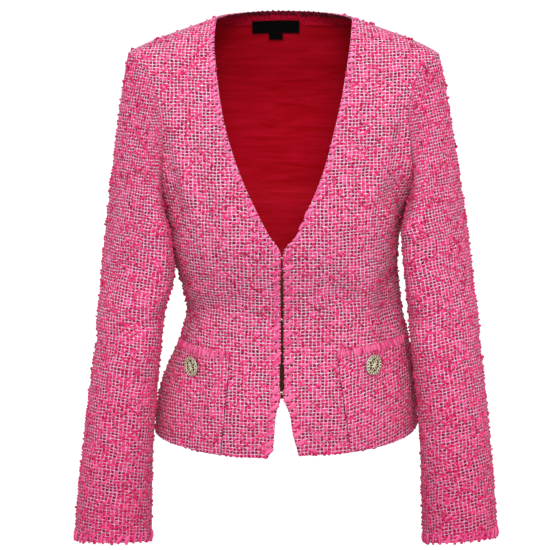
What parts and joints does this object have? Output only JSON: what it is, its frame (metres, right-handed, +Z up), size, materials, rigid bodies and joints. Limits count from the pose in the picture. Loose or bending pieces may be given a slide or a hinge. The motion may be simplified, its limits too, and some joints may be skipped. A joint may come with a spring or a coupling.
{
  "type": "cropped tweed jacket",
  "caption": "Cropped collarless tweed jacket with a V neck, long straight sleeves, patch pockets with metal buttons and a satin back lining, filled out as when worn.",
  "frame": {"origin": "midway between the neck points of the two shoulder seams, where the wearer's shoulders hold the jacket up", "axes": "+X to the viewer's right from the front, -Y forward out of the front, +Z up"},
  "size_m": [0.5175, 0.2292, 0.6421],
  "materials": {
    "front_left": "open boucle weave, matt",
    "front_right": "open boucle weave, matt",
    "back": "open boucle weave, matt",
    "sleeve_left": "open boucle weave, matt",
    "sleeve_right": "open boucle weave, matt",
    "pocket_left": "open boucle weave, matt",
    "pocket_right": "open boucle weave, matt",
    "back_lining": "satin",
    "button_left": "satin",
    "button_right": "satin",
    "neck_label": "woven",
    "size_tab": "woven",
    "hook_1": "satin",
    "eye_1": "satin",
    "hook_2": "satin",
    "eye_2": "satin",
    "hook_3": "satin",
    "eye_3": "satin"
  },
  "bodies": {
    "root": {"front_left": "front_left", "front_right": "front_right", "back": "back", "sleeve_left": "sleeve_left", "sleeve_right": "sleeve_right", "pocket_left": "pocket_left", "pocket_right": "pocket_right", "back_lining": "back_lining", "button_left": "button_left", "button_right": "button_right", "neck_label": "neck_label", "size_tab": "size_tab", "hook_1": "hook_1", "eye_1": "eye_1", "hook_2": "hook_2", "eye_2": "eye_2", "hook_3": "hook_3", "eye_3": "eye_3"}
  },
  "joints": []
}
